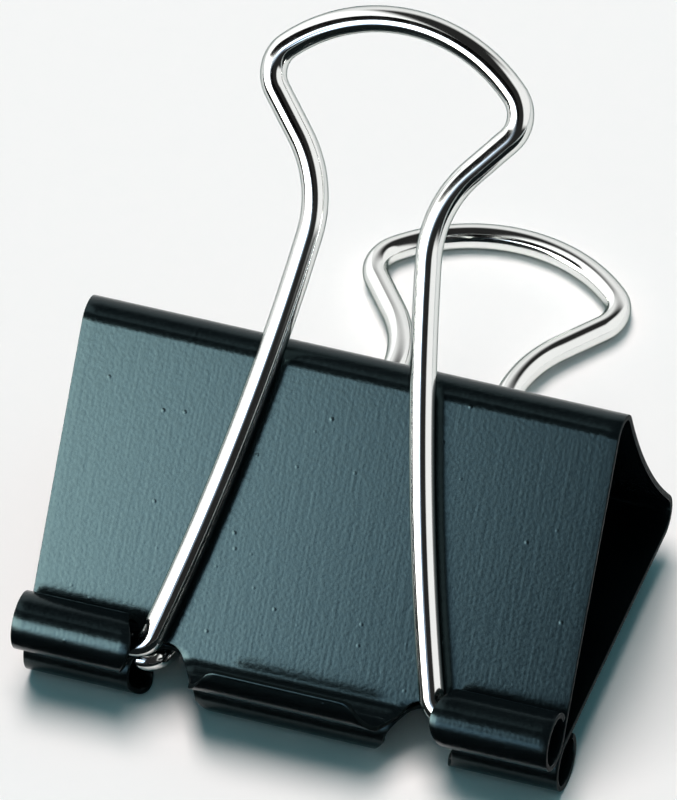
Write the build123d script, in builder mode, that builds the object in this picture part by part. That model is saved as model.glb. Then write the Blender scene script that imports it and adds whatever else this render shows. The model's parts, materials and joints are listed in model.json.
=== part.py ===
"""Foldback clip: a sprung sheet-steel body with rolled lips and two loose wire handles.

The clip lies on its back barrels and its back handle, with the lips towards -Y, the spine towards +Y and
its width along X. The origin is on the table, under the middle of the whole clip.

The body is drawn in its own upright section, where "across" runs from the front jaw to the back jaw and
"up" runs from the lips to the spine. The section is then leaned over until the clip lies on the table.
"""

import os
from math import asin, atan2, cos, degrees, hypot, radians, sin, sqrt

from build123d import *

# Body: one strip of spring steel, parted along the middle of the spine, where it flexes
clip_width = 51.0
jaw_depth = 31.5  # lips to the crest of the spine
spine_span = 25.8  # over the two outer bends
sheet = 0.5
bend_radius = 2.2  # outside of the bends between the spine and the panels
spine_bow = 1.0  # how far the spine hollows towards the lips
lip_gap = 0.2  # between the two closed lips

# Rolled lips: on each jaw two barrels for the handle's pivots, with a centre tab between them
barrel_diameter = 5.4
barrel_wrap = 310.0  # degrees of curl round a pivot
barrel_lobe = 1.15  # bulge of a barrel's inner end
tab_wrap = 180.0  # degrees of curl on the open centre tab
tab_end_width = 12.6  # along the tab's cut edge
tab_foot_width = 18.2  # along the bottom of the tab's curl
notch_crown = 0.5  # top of the notch above the barrel's axis
notch_waist_depth = 1.0  # from the top of the notch to where its tab side turns
notch_waist_inset = 1.6  # the same, along the width

# Handles: one length of round wire each, sizes along the middle of the wire
wire = 2.4
handle_length = 60.3  # pivot line to the end of the loop
loop_radius = 15.4
loop_half_angle = 44.0
shoulder_radius = 3.1
shoulder_angle = 85.0
flare_length = 4.5
neck_radius = 11.5
neck_angle = 46.0
leg_spacing = 27.3  # between the legs, where they reach the pivot line
foot_radius = 1.8
pivot_reach = 23.0  # middle of the clip to a pivot's tip

# Clearances
handle_seat = 0.1  # between a folded handle and its panel
leg_clearance = 0.25  # between a leg and the barrel end that it swings past
cut_margin = 1.0  # how far a cut runs past what it cuts

# Upright section of the front half
barrel_radius = barrel_diameter / 2
barrel_middle = barrel_radius - sheet / 2
bend_middle = bend_radius - sheet / 2
barrel_across = barrel_radius + lip_gap / 2
bend_across = spine_span / 2 - bend_radius
bend_up = jaw_depth - bend_radius

# The panel touches the inner side of the barrel's curl and the outer side of the bend
run_across = bend_across - barrel_across
run_up = bend_up - barrel_radius
run = hypot(run_across, run_up)
panel_lean = atan2(run_across, run_up) + asin((barrel_middle + bend_middle) / run)
panel_length = sqrt(run**2 - (barrel_middle + bend_middle) ** 2)

# The hollow of the spine runs smoothly into the bends
spine_radius = (bend_across**2 + (bend_middle - spine_bow) ** 2 - bend_middle**2) / (2 * spine_bow)
spine_half_angle = asin(bend_across / (spine_radius + bend_middle))
bend_angle = radians(90) + spine_half_angle + panel_lean

# The clip rests on a barrel and on the end of the back handle, so the back panel slopes a little
barrel_depth = barrel_radius - sheet  # barrel axis over the panel's outer face
pivot_depth = handle_seat + wire / 2  # pivot line over the panel's outer face
axis_offset = barrel_depth - pivot_depth
rest_drop = asin((barrel_radius - wire / 2) / hypot(handle_length, axis_offset))
table_slope = rest_drop + atan2(axis_offset, handle_length)
clip_lean = panel_lean - table_slope
front_slope = panel_lean + clip_lean

# Foot of the barrel's axis on the front panel's outer face, and the end of the front handle
foot_across = barrel_depth * cos(panel_lean) - barrel_across
foot_up = barrel_depth * sin(panel_lean) + barrel_radius
loop_across = foot_across - pivot_depth * cos(panel_lean) - handle_length * sin(panel_lean)
loop_up = foot_up - pivot_depth * sin(panel_lean) + handle_length * cos(panel_lean)

# The table is at Z = 0, and the clip is centred along Y between the front barrels and the back loop
near_y = barrel_radius * cos(clip_lean) - barrel_across * sin(clip_lean) - barrel_radius
far_y = loop_up * cos(clip_lean) - loop_across * sin(clip_lean) + wire / 2
lip_y = -(near_y + far_y) / 2
lip_z = barrel_radius + barrel_across * cos(clip_lean) - barrel_radius * sin(clip_lean)


def on_table(across, up):
    """A point of the upright section, as the clip lies on the table."""
    y = lip_y + across * sin(clip_lean) + up * cos(clip_lean)
    z = lip_z - across * cos(clip_lean) + up * sin(clip_lean)
    return (0, y, z)


across_axis = (0, sin(clip_lean), -cos(clip_lean))
front_axis = (0, -sin(front_slope), cos(front_slope))
section = Plane(origin=on_table(0, 0), x_dir=across_axis, z_dir=(1, 0, 0))
middle = Plane(origin=on_table(0, 0), x_dir=(1, 0, 0), z_dir=across_axis)
front_face = Plane(origin=on_table(foot_across, foot_up), x_dir=(1, 0, 0), z_dir=front_axis)

# Wire handle, laid flat: pivot line along X, loop towards +Y
with BuildPart() as flat_handle:
    with BuildLine() as wire_path:
        loop = JernArc((0, handle_length), (1, 0), loop_radius, -loop_half_angle)
        shoulder = JernArc(loop @ 1, loop % 1, shoulder_radius, -shoulder_angle)
        flare = Line(shoulder @ 1, shoulder @ 1 + flare_length * (shoulder % 1))
        neck = JernArc(flare @ 1, flare % 1, neck_radius, neck_angle)
        leg = TangentArc(neck @ 1, (leg_spacing / 2, 0), tangent=neck % 1)
        pivot = Line(leg @ 1, (pivot_reach, 0))
        fillet(wire_path.vertices().sort_by_distance(leg @ 1)[0], foot_radius)
        mirror(about=Plane.YZ)
    with BuildSketch(Plane((pivot_reach, 0, 0), z_dir=(-1, 0, 0))):
        Circle(wire / 2)
    sweep(path=wire_path.wires()[0])

with BuildPart(front_face.offset(pivot_depth)) as front_handle:
    add(flat_handle.part)

with BuildPart() as back_handle:
    mirror(front_handle.part, about=middle)

# A barrel starts where its inner end clears the leg that swings past it
far_wall = 2 * barrel_depth - pivot_depth
leg_passing = leg.position_at(leg.length - far_wall, position_mode=PositionMode.LENGTH)
barrel_start = leg_passing.X + wire / 2 / abs((leg % 1).Y) + leg_clearance
barrel_root = barrel_start + barrel_lobe
lobe_radius = (barrel_radius**2 + barrel_lobe**2) / (2 * barrel_lobe)
curl_gap = barrel_middle * (1 - cos(radians(barrel_wrap))) - sheet

with BuildPart() as front_jaw:
    # Half of the spine, the bend, the panel and the curl of the lip
    with BuildSketch(section):
        with BuildLine():
            spine_middle = jaw_depth - spine_bow - sheet / 2
            spine = JernArc((0, spine_middle), (-1, 0), spine_radius, -degrees(spine_half_angle))
            bend = JernArc(spine @ 1, spine % 1, bend_middle, degrees(bend_angle))
            panel = Line(bend @ 1, bend @ 1 + panel_length * (bend % 1))
            curl = JernArc(panel @ 1, panel % 1, barrel_middle, -tab_wrap)
        trace(line_width=sheet)
    extrude(amount=clip_width / 2, both=True)

    # The barrels curl on until they close round the pivots
    with BuildSketch(section.offset(barrel_start)):
        with BuildLine():
            JernArc(curl @ 1, curl % 1, barrel_middle, tab_wrap - barrel_wrap)
        trace(line_width=sheet)
    extrude(amount=clip_width / 2 - barrel_start)
    mirror(about=Plane.YZ)

    # Notches in the inner half of the curl, each an arch with an S-shaped side towards the tab
    crown = (barrel_root - barrel_radius - notch_crown, notch_crown)
    waist = (crown[0] - notch_waist_inset, notch_crown - notch_waist_depth)
    tab_foot = (tab_foot_width / 2, -barrel_radius)
    below = -barrel_radius - cut_margin
    with BuildSketch(front_face.offset(barrel_depth)):
        with BuildLine():
            arch = JernArc(crown, (1, 0), barrel_radius + notch_crown, -90)
            tab_top = TangentArc(crown, waist, tangent=(-1, 0))
            tab_side = TangentArc(waist, tab_foot, tangent=tab_top % 1)
            Polyline(tab_foot, (tab_foot[0], below), (barrel_root, below), arch @ 1)
        make_face()
        mirror(about=Plane.YZ)
    extrude(amount=-barrel_depth - sheet - cut_margin, mode=Mode.SUBTRACT)

    # The same notches in the outer half, between the tab's slanted side and the barrel's lobed end
    tab_end = (tab_end_width / 2, 0)
    with BuildSketch(front_face.offset(barrel_depth)):
        with BuildLine():
            slant = (tab_side % 1).X, -(tab_side % 1).Y
            TangentArc(tab_foot, tab_end, tangent=slant)
            Polyline(tab_end, (barrel_root, 0), (barrel_root, below), (tab_foot[0], below), tab_foot)
        make_face()
        with Locations((barrel_start + lobe_radius, 0)):
            Circle(lobe_radius, mode=Mode.SUBTRACT)
        mirror(about=Plane.YZ)
    extrude(amount=barrel_radius + cut_margin, mode=Mode.SUBTRACT)

    # The lobed ends go on up to the seams
    with BuildSketch(front_face.offset(curl_gap / 2)):
        with Locations((barrel_start, 0)):
            Rectangle(barrel_lobe, barrel_radius + cut_margin, align=(Align.MIN, Align.MIN))
        with Locations((barrel_start + lobe_radius, 0)):
            Circle(lobe_radius, mode=Mode.SUBTRACT)
        mirror(about=Plane.YZ)
    extrude(amount=barrel_diameter + cut_margin, mode=Mode.SUBTRACT)

with BuildPart() as back_jaw:
    mirror(front_jaw.part, about=middle)

os.makedirs("parts", exist_ok=True)
pieces = {
    "front_jaw": front_jaw,
    "back_jaw": back_jaw,
    "front_handle": front_handle,
    "back_handle": back_handle,
}
for name, piece in pieces.items():
    piece.part.label = name
    export_step(piece.part, f"parts/{name}.step")
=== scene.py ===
"""Looks of the foldback clip: rolled black jaws, plated wire handles, a pale table and soft studio light."""

import json
from math import asin, atan2, cos, hypot, pi, radians, sin, sqrt

import bmesh
import bpy
from mathutils import Matrix, Vector


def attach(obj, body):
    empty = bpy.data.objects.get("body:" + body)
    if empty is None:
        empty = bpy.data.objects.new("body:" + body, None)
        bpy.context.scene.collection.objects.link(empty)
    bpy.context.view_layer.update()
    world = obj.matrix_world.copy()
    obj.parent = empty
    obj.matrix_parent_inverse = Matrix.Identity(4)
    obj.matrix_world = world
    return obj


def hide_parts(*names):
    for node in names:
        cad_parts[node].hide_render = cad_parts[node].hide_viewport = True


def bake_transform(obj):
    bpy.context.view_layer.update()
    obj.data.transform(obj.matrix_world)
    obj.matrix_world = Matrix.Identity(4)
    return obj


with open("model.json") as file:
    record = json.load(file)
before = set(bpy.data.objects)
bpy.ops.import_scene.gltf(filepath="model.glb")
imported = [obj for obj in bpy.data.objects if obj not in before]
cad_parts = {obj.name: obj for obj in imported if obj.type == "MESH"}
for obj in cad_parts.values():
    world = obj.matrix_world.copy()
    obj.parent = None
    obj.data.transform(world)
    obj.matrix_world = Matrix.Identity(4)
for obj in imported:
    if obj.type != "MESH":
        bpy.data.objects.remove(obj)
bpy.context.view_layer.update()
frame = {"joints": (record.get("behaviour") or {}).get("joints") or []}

mm = 0.001
scene = bpy.context.scene
scene.view_settings.view_transform = "Standard"

# Camera at the photograph's viewing angle, found by fitting landmarks of the clip
camera_azimuth = radians(23.139)
camera_elevation = radians(47.393)
camera_tilt = radians(-4.766)
camera_distance = 1.49828
camera_target = Vector((-0.001642, -0.009717, 0.022770))
camera_lens = 751.62

camera_right = Vector((cos(camera_azimuth), sin(camera_azimuth), 0))
camera_back = Vector((sin(camera_azimuth) * cos(camera_elevation),
                      -cos(camera_azimuth) * cos(camera_elevation),
                      sin(camera_elevation)))
camera_data = bpy.data.cameras.new("camera")
camera_data.lens = camera_lens
camera_data.sensor_width = 36
camera_data.clip_start = 0.1
camera_data.clip_end = 20
camera = bpy.data.objects.new("camera", camera_data)
upright_view = Matrix((camera_right, camera_back.cross(camera_right), camera_back)).transposed()
tilted_view = upright_view @ Matrix.Rotation(camera_tilt, 3, "Z")
camera.matrix_world = Matrix.LocRotScale(camera_target + camera_distance * camera_back, tilted_view, None)
scene.collection.objects.link(camera)
scene.camera = camera

# Sizes of the clip in millimetres, as in the part's source, but for the tab's, which follow the photo closer
clip_width = 51.0
jaw_depth = 31.5
spine_span = 25.8
sheet = 0.5
bend_radius = 2.2
spine_bow = 1.0
lip_gap = 0.2
barrel_radius = 2.7
barrel_wrap = radians(310)
barrel_lobe = 1.15
barrel_start = 14.32  # inner end of a barrel, from the middle of the clip, clear of the swinging leg
tab_wrap = radians(175)
tab_bend = radians(160)  # where the curl of the tab ends and its flat end begins
tab_end_width = 13.2
tab_foot_width = 18.0
tab_corner = 0.4  # how far the corners of the cut edge are rounded off
notch_crown = 0.5
notch_waist_depth = 1.0
notch_waist_inset = 1.6

wire = 2.4
handle_length = 60.3
loop_radius = 15.4
loop_half_angle = radians(44)
shoulder_radius = 3.1
shoulder_angle = radians(85)
flare_length = 4.5
neck_radius = 11.5
neck_angle = radians(46)
leg_spacing = 27.3
foot_radius = 1.8
pivot_reach = 23.0

# Surface patterns in millimetres; the enamel's lines and peel are really finer, and are drawn as coarse as
# the photo shows them
line_spacing = 0.32
line_stretch = 0.06  # a line's width as a share of its length
line_depth = 0.006
peel_size = 0.33
peel_depth = 0.009
cloud_size = 7.0
nib_spacing = 2.2
nib_radius = 0.12  # as a share of the spacing
nib_height = 0.022
bare_share = 0.2  # of the places for nibs
haze_size = 3.0
scuff_size = 0.5
scuff_depth = 0.004
scuff_strength = 0.15
tooth_size = 2.0
pile_size = 1.5

# Walls of light, where 1 is white, with their soft edges as cosines to the picture's right, top and front
left_wall_light = 1.3
left_wall_edge = (-0.26, -0.44)
right_wall_light = 1.0
right_wall_edge = (0.34, 0.50)
right_wall_height = 0.17
right_wall_reach = (0.52, 0.70)
backdrop_light = 0.95
backdrop_edge = (0.25, -0.15)
room_light = 0.02
seen_light = 0.905  # of the world where the camera sees it past the table

# Lamps, table and cloth, in watts and metres
overhead_watts = 14.2
overhead_place = 1.2 * Vector((-0.09, 0.14, 0.98))
overhead_width = 0.42
overhead_length = 0.8
fill_watts = 10.0
fill_place = Vector((0, 0, 0.9))
fill_size = 2.4
table_reach = 1.5
table_place = Vector((0, 0, -0.02 * mm))
cloth_reach = 0.3
cloth_place = Vector((0, -0.335, 0.1 * mm))

# The lit card, in metres, and where its light changes, measured to the left and upwards from its middle
card_light = 15.6
card_dim_light = 0.3
card_distance = 0.2
card_width = 0.30
card_height = 0.30
card_right_end = 0.07
card_lift = 0.02
card_sides = (-0.035, 0.05)
card_fan = (-0.02, 0.02)
card_fan_spread = (1.2, 0.6)
card_foot = (-0.015, -0.06)
card_foot_share = 0.25
card_top_fade = (0.05, 0.01)
card_foot_fade = (-0.13, -0.03)

# Fineness of the meshes
spine_rows = 10
bend_rows = 28
panel_rows = 10
crown_rows = 5
curl_rows = 62  # five degrees each, so that one row is the tab's cut edge
tab_columns = 10
barrel_columns = 12
sharp_angle = radians(60)
cut_edge_round = 0.07
tip_round = 0.15
round_segments = 2
wire_sides = 40
loop_steps = 26
shoulder_steps = 30
neck_steps = 24
leg_steps = 20
foot_steps = 24
merge_reach = 0.0005
seam_reach = 0.01

# The jaws' upright section: "across" from the front jaw to the back jaw, "up" from the lips to the spine
joints = {joint["name"]: Vector(joint["pos_m"]) for joint in frame["joints"]}
spine_line = joints["jaw_opening"]
pivot_lines = {"front": joints["front_handle_swing"], "back": joints["back_handle_swing"]}
sides = {"front": -1, "back": 1}
across_axis = (pivot_lines["back"] - pivot_lines["front"]).normalized()
up_axis = Vector((1, 0, 0)).cross(across_axis)
lip_line = spine_line - (jaw_depth - spine_bow) * mm * up_axis

barrel_depth = barrel_radius - sheet
barrel_across = barrel_radius + lip_gap / 2
bend_across = spine_span / 2 - bend_radius
bend_up = jaw_depth - bend_radius
run_across = bend_across - barrel_across
run_up = bend_up - barrel_radius
run = hypot(run_across, run_up)
panel_lean = atan2(run_across, run_up) + asin((barrel_depth + bend_radius) / run)
panel_length = sqrt(run**2 - (barrel_depth + bend_radius) ** 2)
bend_middle = bend_radius - sheet / 2
spine_radius = (bend_across**2 + (bend_middle - spine_bow) ** 2 - bend_middle**2) / (2 * spine_bow)
spine_half_angle = asin(bend_across / (spine_radius + bend_middle))
bend_angle = radians(90) + spine_half_angle + panel_lean


def laid(across, up):
    """A point of the upright section on the lying clip, in metres."""
    return lip_line + mm * (across * across_axis + up * up_axis)


def about(centre, angle):
    """A turn about a line along the clip's width."""
    return Matrix.Translation(centre) @ Matrix.Rotation(angle, 4, "X") @ Matrix.Translation(-centre)


def finished(mesh_name, bm, *materials):
    """A smooth-shaded object of the mesh, at the origin."""
    for face in bm.faces:
        face.smooth = True
    mesh = bpy.data.meshes.new(mesh_name)
    bm.to_mesh(mesh)
    bm.free()
    for material in materials:
        mesh.materials.append(material)
    made = bpy.data.objects.new(mesh_name, mesh)
    scene.collection.objects.link(made)
    return made


# Outlines of the notches, by height along the panel from the barrel's axis
barrel_root = barrel_start + barrel_lobe
arch_radius = barrel_radius + notch_crown
crown_x = barrel_root - arch_radius
waist_x = crown_x - notch_waist_inset
waist_height = notch_crown - notch_waist_depth
lobe_radius = (barrel_radius**2 + barrel_lobe**2) / (2 * barrel_lobe)
hook_radius = (notch_waist_inset**2 + notch_waist_depth**2) / (2 * notch_waist_depth)
hook_height = notch_crown - hook_radius
tab_foot_x = tab_foot_width / 2
tab_end_x = tab_end_width / 2
# The side of the tab is an arc that leaves the hook at the waist and ends at the tab's foot
waist_normal = Vector((-notch_waist_inset, waist_height - hook_height)) / hook_radius
waist_to_foot = Vector((tab_foot_x - waist_x, -barrel_radius - waist_height))
side_radius = waist_to_foot.length_squared / (2 * waist_to_foot.dot(waist_normal))
side_x = waist_x + side_radius * waist_normal.x
side_height = waist_height + side_radius * waist_normal.y


def barrel_side(roll):
    """Where a barrel starts, at an angle of the curl, below zero on the flat panel."""
    if roll > pi / 2:
        height = barrel_radius * sin(roll)
        return barrel_start + lobe_radius - sqrt(lobe_radius**2 - height**2)
    height = -barrel_radius * sin(roll) if roll > 0 else min(-roll * barrel_depth, notch_crown)
    arch_height = height - notch_crown + arch_radius
    return crown_x + sqrt(max(0, arch_radius**2 - arch_height**2))


def tab_side(roll):
    """Where the tab ends, at an angle of the curl, below zero on the flat panel."""
    if roll > pi / 2:
        past_foot = (roll - pi / 2) / (tab_wrap - pi / 2)
        in_corner = max(0, 1 - (tab_wrap - roll) * barrel_depth / tab_corner)
        return tab_foot_x + (tab_end_x - tab_foot_x) * past_foot - tab_corner * in_corner**2
    height = -barrel_radius * sin(roll) if roll > 0 else min(-roll * barrel_depth, notch_crown)
    if height > waist_height:
        return crown_x - sqrt(max(0, hook_radius**2 - (height - hook_height) ** 2))
    return side_x + sqrt(side_radius**2 - (height - side_height) ** 2)


def rolled_jaw(name, side, enamel, cut_enamel):
    """Half of the body: rows over the spine, the bend, the panel and the curl, led out to the clip's ends."""
    bm = bmesh.new()
    roll = bm.verts.layers.float.new("roll")
    above_notch = -jaw_depth  # any angle well below zero
    tip = bm.verts.new(laid(0, jaw_depth - spine_bow))
    tip[roll] = above_notch

    def grow(move, angle=above_notch):
        """Leads the section on by one row."""
        nonlocal tip
        tip = bmesh.ops.extrude_vert_indiv(bm, verts=[tip])["verts"][0]
        bmesh.ops.transform(bm, matrix=move, verts=[tip])
        tip[roll] = angle

    spine_centre = laid(0, jaw_depth - spine_bow - sheet / 2 + spine_radius)
    for step in range(spine_rows):
        grow(about(spine_centre, side * spine_half_angle / spine_rows))
    bend_centre = laid(side * bend_across, bend_up)
    for step in range(bend_rows):
        grow(about(bend_centre, -side * bend_angle / bend_rows))
    down_panel = -side * sin(panel_lean) * across_axis - cos(panel_lean) * up_axis
    for step in range(panel_rows):
        grow(Matrix.Translation((panel_length - notch_crown) / panel_rows * mm * down_panel))
    # Rows crowd towards the crown of the notch, where its arch runs along the width
    height = notch_crown
    for step in range(crown_rows):
        lower = notch_crown * (1 - ((step + 1) / crown_rows) ** 2)
        grow(Matrix.Translation((height - lower) * mm * down_panel), -lower / barrel_depth)
        height = lower
    barrel_centre = laid(side * barrel_across, barrel_radius)
    for step in range(curl_rows):
        angle = barrel_wrap * (step + 1) / curl_rows
        grow(about(barrel_centre, side * barrel_wrap / curl_rows), angle)

    # Columns out to the end of the clip, with a column of no width where the notch opens
    tab_steps = [crown_x / tab_columns] * tab_columns
    barrel_steps = [(clip_width / 2 - crown_x) / barrel_columns] * barrel_columns
    edges = bm.edges[:]
    tab_verts = bm.verts[:]
    tab_faces = []
    gap_faces = []
    barrel_verts = []
    for column, width in enumerate(tab_steps + [0] + barrel_steps):
        made = bmesh.ops.extrude_edge_only(bm, edges=edges)["geom"]
        verts = [part for part in made if isinstance(part, bmesh.types.BMVert)]
        faces = [part for part in made if isinstance(part, bmesh.types.BMFace)]
        new_edges = [part for part in made if isinstance(part, bmesh.types.BMEdge)]
        edges = [edge for edge in new_edges if set(edge.verts) <= set(verts)]
        bmesh.ops.translate(bm, vec=(width * mm, 0, 0), verts=verts)
        if column < tab_columns:
            tab_verts.extend(verts)
            tab_faces.extend(faces)
        else:
            barrel_verts.extend(verts)
        if column == tab_columns:
            gap_faces.extend(faces)

    # The notch: columns draw back to its two sides
    for vert in tab_verts:
        vert.co.x *= tab_side(vert[roll]) / crown_x
    for vert in barrel_verts:
        open_share = (clip_width / 2 - barrel_side(vert[roll])) / (clip_width / 2 - crown_x)
        vert.co.x = clip_width / 2 * mm - (clip_width / 2 * mm - vert.co.x) * open_share
    # The tab's end is flat: rows past its bend are turned back to the bend and led straight on
    along_end = Matrix.Rotation(side * tab_bend, 3, "X") @ down_panel
    for vert in tab_verts:
        past_bend = vert[roll] - tab_bend
        if past_bend > 0:
            at_bend = about(barrel_centre, -side * past_bend) @ vert.co
            vert.co = at_bend + past_bend * barrel_depth * mm * along_end
    mean_roll = {face: sum(vert[roll] for vert in face.verts) / len(face.verts) for face in tab_faces}
    past_tab = [face for face in tab_faces if mean_roll[face] > tab_wrap]
    bmesh.ops.delete(bm, geom=gap_faces + past_tab, context="FACES")
    bmesh.ops.remove_doubles(bm, verts=bm.verts[:], dist=merge_reach * mm)
    half = bm.verts[:] + bm.edges[:] + bm.faces[:]
    bmesh.ops.mirror(bm, geom=half, axis="X", merge_dist=merge_reach * mm)
    bmesh.ops.remove_doubles(bm, verts=bm.verts[:], dist=merge_reach * mm)

    # The faces made so far are the panel's outer face, and the thickness goes inwards from them
    bmesh.ops.recalc_face_normals(bm, faces=bm.faces[:])
    bm.faces.ensure_lookup_table()
    top_face = max(bm.faces, key=lambda face: face.calc_center_median().dot(up_axis))
    if top_face.normal.dot(up_axis) < 0:
        bmesh.ops.reverse_faces(bm, faces=bm.faces[:])
    bm.normal_update()
    bmesh.ops.solidify(bm, geom=bm.faces[:], thickness=sheet * mm)
    bm.normal_update()

    def off_seam(edge):
        """Whether an edge lies away from the middle of the spine, where the two halves meet."""
        return any(abs((vert.co - spine_line).dot(across_axis)) > seam_reach * mm for vert in edge.verts)

    inner_edges = [edge for edge in bm.edges if len(edge.link_faces) == 2]
    sharp = [edge for edge in inner_edges if edge.calc_face_angle() > sharp_angle]
    for edge in sharp:
        edge.tag = True
        edge.smooth = off_seam(edge)
    # A cut face has sharp edges on two sides that don't meet
    for face in bm.faces:
        rims = [set(edge.verts) for edge in face.edges if edge.tag]
        if any(first.isdisjoint(second) for first in rims for second in rims):
            face.material_index = 1
    bmesh.ops.bevel(bm, geom=[edge for edge in sharp if off_seam(edge)], affect="EDGES",
                    offset=cut_edge_round * mm, segments=round_segments, profile=0.5, material=-1)
    jaw = finished(name, bm, enamel, cut_enamel)
    even_shading = jaw.modifiers.new("even_shading", "WEIGHTED_NORMAL")
    even_shading.keep_sharp = True
    return jaw


def bent_wire(name, pivot_line, up_panel, plating):
    """A handle: a ring of the wire's section, led from the end of the loop to a pivot's tip, and mirrored."""
    bm = bmesh.new()
    end_of_loop = Matrix.Translation((0, handle_length * mm, 0)) @ Matrix.Rotation(pi / 2, 4, "Y")
    bmesh.ops.create_circle(bm, radius=wire / 2 * mm, segments=wire_sides, matrix=end_of_loop)
    ring = bm.edges[:]
    place = Vector((0, handle_length, 0))
    heading = 0.0

    def left():
        """The direction to the left of the wire's heading."""
        return Vector((-sin(heading), cos(heading), 0))

    def curve(radius, angle, steps):
        """Bends the wire to the left by a positive radius and angle, and to the right by negative ones."""
        nonlocal ring, place, heading
        centre = place + radius * left()
        made = bmesh.ops.spin(bm, geom=ring, cent=centre * mm, axis=(0, 0, 1), angle=angle, steps=steps)
        ring = [part for part in made["geom_last"] if isinstance(part, bmesh.types.BMEdge)]
        heading += angle
        place = centre - radius * left()

    def straight(length):
        """Leads the wire straight on."""
        nonlocal ring, place
        ahead = Vector((cos(heading), sin(heading), 0))
        made = bmesh.ops.extrude_edge_only(bm, edges=ring)["geom"]
        verts = [part for part in made if isinstance(part, bmesh.types.BMVert)]
        new_edges = [part for part in made if isinstance(part, bmesh.types.BMEdge)]
        ring = [edge for edge in new_edges if set(edge.verts) <= set(verts)]
        bmesh.ops.translate(bm, vec=length * mm * ahead, verts=verts)
        place = place + length * ahead

    curve(-loop_radius, -loop_half_angle, loop_steps)
    curve(-shoulder_radius, -shoulder_angle, shoulder_steps)
    straight(flare_length)
    curve(neck_radius, neck_angle, neck_steps)
    # The leg is an arc that would end on the pivot line, and the foot rounds that corner
    to_pivot = Vector((leg_spacing / 2, 0, 0)) - place
    leg_radius = to_pivot.length_squared / (2 * to_pivot.dot(left()))
    leg_centre = place + leg_radius * left()
    foot_reach = sqrt((leg_radius - foot_radius) ** 2 - (foot_radius - leg_centre.y) ** 2)
    foot_side = 1 if leg_radius > 0 else -1
    foot_centre = Vector((leg_centre.x - foot_side * foot_reach, foot_radius, 0))
    to_leg = place - leg_centre
    to_foot = foot_centre - leg_centre
    leg_angle = atan2(to_leg.cross(to_foot).z, to_leg.dot(to_foot))
    curve(leg_radius, leg_angle, leg_steps)
    curve(foot_radius, -heading, foot_steps)
    straight(pivot_reach - place.x)
    tip = bmesh.ops.contextual_create(bm, geom=ring)["faces"]
    bmesh.ops.bevel(bm, geom=tip[0].edges[:], affect="EDGES", offset=tip_round * mm, segments=round_segments,
                    profile=0.5, material=-1)
    half = bm.verts[:] + bm.edges[:] + bm.faces[:]
    bmesh.ops.mirror(bm, geom=half, axis="X", merge_dist=merge_reach * mm)
    bmesh.ops.remove_doubles(bm, verts=bm.verts[:], dist=merge_reach * mm)
    bmesh.ops.recalc_face_normals(bm, faces=bm.faces[:])
    across_wire = Vector((1, 0, 0)).cross(up_panel)
    lie = Matrix((Vector((1, 0, 0)), up_panel, across_wire)).transposed()
    bmesh.ops.transform(bm, matrix=Matrix.LocRotScale(pivot_line, lie, None), verts=bm.verts[:])
    return finished(name, bm, plating)


def linear(hex_colour):
    """Linear colour of an sRGB hex value."""
    parts = [int(hex_colour[place:place + 2], 16) / 255 for place in (1, 3, 5)]
    return [part / 12.92 if part <= 0.04045 else ((part + 0.055) / 1.055) ** 2.4 for part in parts] + [1]


def add_node(tree, kind, inputs=None, **settings):
    """A node with its settings, and with values or links on its inputs."""
    made = tree.nodes.new(kind)
    for name, value in settings.items():
        setattr(made, name, value)
    for socket, value in (inputs or {}).items():
        if isinstance(value, bpy.types.NodeSocket):
            tree.links.new(value, made.inputs[socket])
        else:
            made.inputs[socket].default_value = value
    return made


def per_mm(size):
    """Texture scale for a feature of that size in millimetres."""
    return 1 / (size * mm)


def new_material(name):
    """A node material with no nodes yet, and its tree."""
    material = bpy.data.materials.new(name)
    material.use_nodes = True
    material.node_tree.nodes.clear()
    return material, material.node_tree


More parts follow.
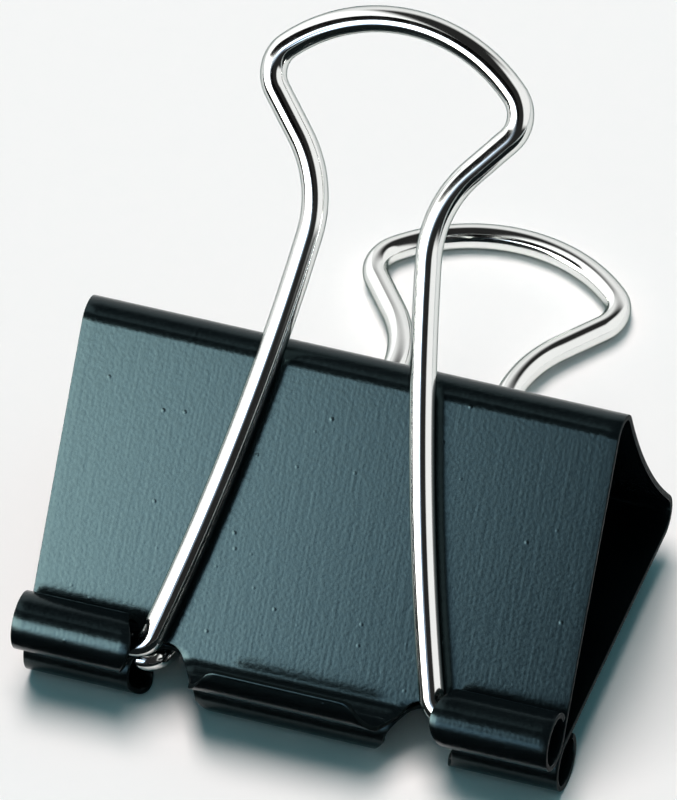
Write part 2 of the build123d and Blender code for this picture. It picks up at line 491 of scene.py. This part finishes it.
def stoved_enamel(name, dark, light, smooth, rough, ior):
    """Black stoving enamel over spring steel: glossy, with drawn lines, orange peel and a few dust nibs."""
    material, tree = new_material(name)
    place = add_node(tree, "ShaderNodeTexCoord").outputs["Object"]
    along_strip = add_node(tree, "ShaderNodeMapping", {
        "Vector": place, "Scale": (1, line_stretch, line_stretch)}).outputs["Vector"]
    lines = add_node(tree, "ShaderNodeTexNoise", {
        "Vector": along_strip, "Scale": per_mm(line_spacing), "Detail": 0.5, "Roughness": 0.5}).outputs["Fac"]
    peel = add_node(tree, "ShaderNodeTexNoise", {
        "Vector": place, "Scale": per_mm(peel_size), "Detail": 0.5, "Roughness": 0.5}).outputs["Fac"]
    clouds = add_node(tree, "ShaderNodeTexNoise", {
        "Vector": place, "Scale": per_mm(cloud_size), "Detail": 2.0}).outputs["Fac"]
    specks = add_node(tree, "ShaderNodeTexVoronoi", {"Vector": place, "Scale": per_mm(nib_spacing)})
    dome = add_node(tree, "ShaderNodeMapRange", {
        "Value": specks.outputs["Distance"],
        "From Min": 0.0, "From Max": nib_radius, "To Min": 1.0, "To Max": 0.0},
        interpolation_type="SMOOTHSTEP").outputs["Result"]
    draw = add_node(tree, "ShaderNodeSeparateColor", {"Color": specks.outputs["Color"]}).outputs["Red"]
    drawn = add_node(tree, "ShaderNodeMath", {0: draw, 1: bare_share}, operation="GREATER_THAN").outputs[0]
    nibs = add_node(tree, "ShaderNodeMath", {0: dome, 1: drawn}, operation="MULTIPLY").outputs[0]
    colour = add_node(tree, "ShaderNodeMix", {
        "Factor": clouds, 6: linear(dark), 7: linear(light)}, data_type="RGBA").outputs[2]
    roughness = add_node(tree, "ShaderNodeMapRange", {
        "Value": peel, "From Min": 0.3, "From Max": 0.7, "To Min": smooth, "To Max": rough}).outputs["Result"]
    peel_bump = add_node(tree, "ShaderNodeBump", {
        "Height": peel, "Strength": 1.0, "Distance": peel_depth * mm}).outputs["Normal"]
    line_bump = add_node(tree, "ShaderNodeBump", {
        "Height": lines, "Strength": 1.0, "Distance": line_depth * mm, "Normal": peel_bump}).outputs["Normal"]
    nib_bump = add_node(tree, "ShaderNodeBump", {
        "Height": nibs, "Strength": 1.0, "Distance": nib_height * mm, "Normal": line_bump}).outputs["Normal"]
    surface = add_node(tree, "ShaderNodeBsdfPrincipled", {
        "Base Color": colour, "Roughness": roughness, "IOR": ior, "Specular Tint": linear("#c9f8ff"),
        "Normal": nib_bump})
    add_node(tree, "ShaderNodeOutputMaterial", {"Surface": surface.outputs["BSDF"]})
    return material


def nickel_plate(name):
    """Bright nickel plate on drawn wire: a near mirror, with a faint haze and fine scuffs, and painted dark
    rims where its reflection turns teal grey at grazing angles.
    """
    material, tree = new_material(name)
    place = add_node(tree, "ShaderNodeTexCoord").outputs["Object"]
    haze = add_node(tree, "ShaderNodeTexNoise", {
        "Vector": place, "Scale": per_mm(haze_size), "Detail": 4.0, "Roughness": 0.6}).outputs["Fac"]
    scuffs = add_node(tree, "ShaderNodeTexNoise", {
        "Vector": place, "Scale": per_mm(scuff_size), "Detail": 3.0, "Distortion": 1.0}).outputs["Fac"]
    colour = add_node(tree, "ShaderNodeMix", {
        "Factor": haze, 6: linear("#e6e8e6"), 7: linear("#f3f4f1")}, data_type="RGBA").outputs[2]
    roughness = add_node(tree, "ShaderNodeMapRange", {
        "Value": haze, "From Min": 0.3, "From Max": 0.7, "To Min": 0.06, "To Max": 0.12}).outputs["Result"]
    bump = add_node(tree, "ShaderNodeBump", {
        "Height": scuffs, "Strength": scuff_strength, "Distance": scuff_depth * mm}).outputs["Normal"]
    # The dark teal Specular Tint darkens the reflection at grazing angles: painted shade along the wire's
    # outline.
    surface = add_node(tree, "ShaderNodeBsdfPrincipled", {
        "Base Color": colour, "Metallic": 1.0, "Roughness": roughness, "Specular Tint": linear("#3f5a56"),
        "Normal": bump})
    add_node(tree, "ShaderNodeOutputMaterial", {"Surface": surface.outputs["BSDF"]})
    return material


def matt_board(name):
    """Matt white board for the table: almost even, with the faintest tooth."""
    material, tree = new_material(name)
    place = add_node(tree, "ShaderNodeTexCoord").outputs["Object"]
    tooth = add_node(tree, "ShaderNodeTexNoise", {
        "Vector": place, "Scale": per_mm(tooth_size), "Detail": 2.0}).outputs["Fac"]
    colour = add_node(tree, "ShaderNodeMix", {
        "Factor": tooth, 6: linear("#f3f4f4"), 7: linear("#f5f5f5")}, data_type="RGBA").outputs[2]
    surface = add_node(tree, "ShaderNodeBsdfPrincipled", {
        "Base Color": colour, "Roughness": 0.9, "Specular IOR Level": 0.0})
    add_node(tree, "ShaderNodeOutputMaterial", {"Surface": surface.outputs["BSDF"]})
    return material


def painted_dark_reflection(name):
    """Near-black cloth for a painted dark reflection, standing in for shade on the table: it swallows nearly
    all light, a little unevenly along its pile.
    """
    material, tree = new_material(name)
    place = add_node(tree, "ShaderNodeTexCoord").outputs["Object"]
    pile = add_node(tree, "ShaderNodeTexNoise", {
        "Vector": place, "Scale": per_mm(pile_size), "Detail": 3.0}).outputs["Fac"]
    colour = add_node(tree, "ShaderNodeMix", {
        "Factor": pile, 6: linear("#0c0f10"), 7: linear("#1a2021")}, data_type="RGBA").outputs[2]
    surface = add_node(tree, "ShaderNodeBsdfPrincipled", {
        "Base Color": colour, "Roughness": 1.0, "Specular IOR Level": 0.0})
    add_node(tree, "ShaderNodeOutputMaterial", {"Surface": surface.outputs["BSDF"]})
    return material


def lit_card(name, middle, left, up):
    """White card lit from its left, fading to the right and at its upper and lower ends."""
    material, tree = new_material(name)
    place = add_node(tree, "ShaderNodeTexCoord").outputs["Object"]
    offset = add_node(tree, "ShaderNodeVectorMath", {
        0: place, 1: middle}, operation="SUBTRACT").outputs["Vector"]
    to_left = add_node(tree, "ShaderNodeVectorMath", {
        0: offset, 1: left}, operation="DOT_PRODUCT").outputs["Value"]
    to_top = add_node(tree, "ShaderNodeVectorMath", {
        0: offset, 1: up}, operation="DOT_PRODUCT").outputs["Value"]
    spread = add_node(tree, "ShaderNodeMapRange", {
        "Value": to_top, "From Min": card_fan[0], "From Max": card_fan[1],
        "To Min": card_fan_spread[0], "To Max": card_fan_spread[1]}).outputs["Result"]
    fanned = add_node(tree, "ShaderNodeMath", {0: to_left, 1: spread}, operation="MULTIPLY").outputs[0]
    share = add_node(tree, "ShaderNodeMapRange", {
        "Value": fanned, "From Min": card_sides[0], "From Max": card_sides[1]},
        interpolation_type="SMOOTHSTEP").outputs["Result"]
    at_foot = add_node(tree, "ShaderNodeMapRange", {
        "Value": to_top, "From Min": card_foot[0], "From Max": card_foot[1],
        "To Min": 0.0, "To Max": card_foot_share}).outputs["Result"]
    lit_share = add_node(tree, "ShaderNodeMath", {0: share, 1: at_foot}, operation="ADD").outputs[0]
    light = add_node(tree, "ShaderNodeMath", {
        0: lit_share, 1: card_light, 2: card_dim_light}, operation="MULTIPLY_ADD").outputs[0]
    below_top = add_node(tree, "ShaderNodeMapRange", {
        "Value": to_top, "From Min": card_top_fade[0], "From Max": card_top_fade[1]},
        interpolation_type="SMOOTHSTEP").outputs["Result"]
    above_foot = add_node(tree, "ShaderNodeMapRange", {
        "Value": to_top, "From Min": card_foot_fade[0], "From Max": card_foot_fade[1]},
        interpolation_type="SMOOTHSTEP").outputs["Result"]
    fade = add_node(tree, "ShaderNodeMath", {0: below_top, 1: above_foot}, operation="MULTIPLY").outputs[0]
    strength = add_node(tree, "ShaderNodeMath", {0: light, 1: fade}, operation="MULTIPLY").outputs[0]
    colour = add_node(tree, "ShaderNodeMix", {
        "Factor": share, 6: linear("#d1e7ff"), 7: linear("#fffdf8")}, data_type="RGBA").outputs[2]
    glow = add_node(tree, "ShaderNodeEmission", {"Color": colour, "Strength": strength})
    add_node(tree, "ShaderNodeOutputMaterial", {"Surface": glow.outputs["Emission"]})
    return material


black_enamel = stoved_enamel("black_stoved_enamel", dark="#030608", light="#0a1012",
                             smooth=0.18, rough=0.24, ior=1.38)
thin_enamel = stoved_enamel("thin_enamel_on_cut_edges", dark="#05090a", light="#0d1415",
                            smooth=0.45, rough=0.6, ior=1.14)
plating = nickel_plate("bright_nickel_plate")

# Each half of the sheet is built where it lies at rest, in place of its CAD jaw, and each handle's wire rides
# on its body
for side_name, side in sides.items():
    jaw = rolled_jaw(side_name + "_jaw_sheet", side, black_enamel, thin_enamel)
    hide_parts(side_name + "_jaw")
    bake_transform(jaw)

    up_panel = side * sin(panel_lean) * across_axis + cos(panel_lean) * up_axis
    handle = bent_wire(side_name + "_handle_wire", pivot_lines[side_name], up_panel, plating)
    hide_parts(side_name + "_handle")
    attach(handle, side_name + "_handle")

# Table
bm = bmesh.new()
bmesh.ops.create_grid(bm, x_segments=1, y_segments=1, size=table_reach)
bmesh.ops.translate(bm, vec=table_place, verts=bm.verts[:])
table = finished("table", bm, matt_board("matt_white_board"))

# A dark cloth on the table in front of the clip, which only shows in the wire and the enamel: a painted dark
# reflection that stands in for shade on the table there, while the camera still sees the white board
bm = bmesh.new()
bmesh.ops.create_grid(bm, x_segments=1, y_segments=1, size=cloth_reach)
bmesh.ops.translate(bm, vec=cloth_place, verts=bm.verts[:])
cloth = finished("painted_dark_reflection_cloth", bm, painted_dark_reflection("painted_dark_reflection"))
cloth.visible_camera = False
cloth.visible_diffuse = False
cloth.visible_shadow = False


# Studio light, in directions as the camera sees them: a white wall of light on the left, a smaller one on the
# right and a pale backdrop, with the dark of the room between them, above and round the camera
room_right, room_up, room_front = tilted_view.col
world = bpy.data.worlds.new("studio")
scene.world = world
world.use_nodes = True
tree = world.node_tree
tree.nodes.clear()
direction = add_node(tree, "ShaderNodeTexCoord").outputs["Generated"]
to_right = add_node(tree, "ShaderNodeVectorMath", {
    0: direction, 1: room_right}, operation="DOT_PRODUCT").outputs["Value"]
to_top = add_node(tree, "ShaderNodeVectorMath", {
    0: direction, 1: room_up}, operation="DOT_PRODUCT").outputs["Value"]
to_front = add_node(tree, "ShaderNodeVectorMath", {
    0: direction, 1: room_front}, operation="DOT_PRODUCT").outputs["Value"]
left_wall = add_node(tree, "ShaderNodeMapRange", {
    "Value": to_right, "From Min": left_wall_edge[0], "From Max": left_wall_edge[1],
    "To Min": 0.0, "To Max": left_wall_light},
    interpolation_type="SMOOTHSTEP").outputs["Result"]
right_edge = add_node(tree, "ShaderNodeMapRange", {
    "Value": to_right, "From Min": right_wall_edge[0], "From Max": right_wall_edge[1]},
    interpolation_type="SMOOTHSTEP").outputs["Result"]
right_height = add_node(tree, "ShaderNodeMath", {
    0: to_top, 1: right_wall_height}, operation="SUBTRACT").outputs[0]
right_reach = add_node(tree, "ShaderNodeMath", {0: right_height}, operation="ABSOLUTE").outputs[0]
right_end = add_node(tree, "ShaderNodeMapRange", {
    "Value": right_reach, "From Min": right_wall_reach[0], "From Max": right_wall_reach[1],
    "To Min": right_wall_light, "To Max": 0.0},
    interpolation_type="SMOOTHSTEP").outputs["Result"]
right_wall = add_node(tree, "ShaderNodeMath", {0: right_edge, 1: right_end}, operation="MULTIPLY").outputs[0]
backdrop = add_node(tree, "ShaderNodeMapRange", {
    "Value": to_front, "From Min": backdrop_edge[0], "From Max": backdrop_edge[1],
    "To Min": room_light, "To Max": backdrop_light},
    interpolation_type="SMOOTHSTEP").outputs["Result"]
walls = add_node(tree, "ShaderNodeMath", {0: left_wall, 1: right_wall}, operation="MAXIMUM").outputs[0]
studio = add_node(tree, "ShaderNodeMath", {0: walls, 1: backdrop}, operation="MAXIMUM").outputs[0]
paths = add_node(tree, "ShaderNodeLightPath")
light = add_node(tree, "ShaderNodeMix", {
    "Factor": paths.outputs["Is Camera Ray"], 2: studio, 3: seen_light}).outputs[0]
background = add_node(tree, "ShaderNodeBackground", {"Color": linear("#ffffff"), "Strength": light})
add_node(tree, "ShaderNodeOutputWorld", {"Surface": background.outputs["Background"]})
world.cycles_visibility.diffuse = False


def lamp(name, place, towards, width, height, power, colour):
    """A rectangular area light that the camera doesn't see."""
    data = bpy.data.lights.new(name, "AREA")
    data.shape = "RECTANGLE"
    data.size = width
    data.size_y = height
    data.energy = power
    data.color = linear(colour)[:3]
    made = bpy.data.objects.new(name, data)
    made.matrix_world = Matrix.LocRotScale(place, (-towards).to_track_quat("Z", "Y"), None)
    made.visible_camera = False
    scene.collection.objects.link(made)
    return made


overhead = lamp("overhead_softbox", overhead_place, -overhead_place,
                overhead_width, overhead_length, overhead_watts, "#fff1ed")
overhead.visible_glossy = False
fill = lamp("ceiling_fill", fill_place, -fill_place, fill_size, fill_size, fill_watts, "#7fc0cb")
fill.visible_glossy = False

# The panel mirrors the camera to a lit card, which is brightest towards its left
panel_middle = laid(-(barrel_across + bend_across) / 2, jaw_depth / 2)
panel_normal = -cos(panel_lean) * across_axis - sin(panel_lean) * up_axis
mirrored = 2 * camera_back.dot(panel_normal) * panel_normal - camera_back
card_left = mirrored.cross(Vector((0, 0, 1))).normalized()
card_up = card_left.cross(mirrored).normalized()
card_middle = panel_middle + card_distance * mirrored
card_frame = Matrix((card_left, card_up, -mirrored)).transposed()
bm = bmesh.new()
bmesh.ops.create_grid(bm, x_segments=1, y_segments=1, size=1)
bmesh.ops.scale(bm, vec=(card_width / 2, card_height / 2, 1), verts=bm.verts[:])
bmesh.ops.translate(bm, vec=(card_width / 2 - card_right_end, card_lift, 0), verts=bm.verts[:])
bmesh.ops.transform(bm, matrix=Matrix.LocRotScale(card_middle, card_frame, None), verts=bm.verts[:])
card = finished("lit_card", bm, lit_card("lit_card", card_middle, card_left, card_up))
card.visible_camera = False
card.visible_diffuse = False
card.visible_shadow = False
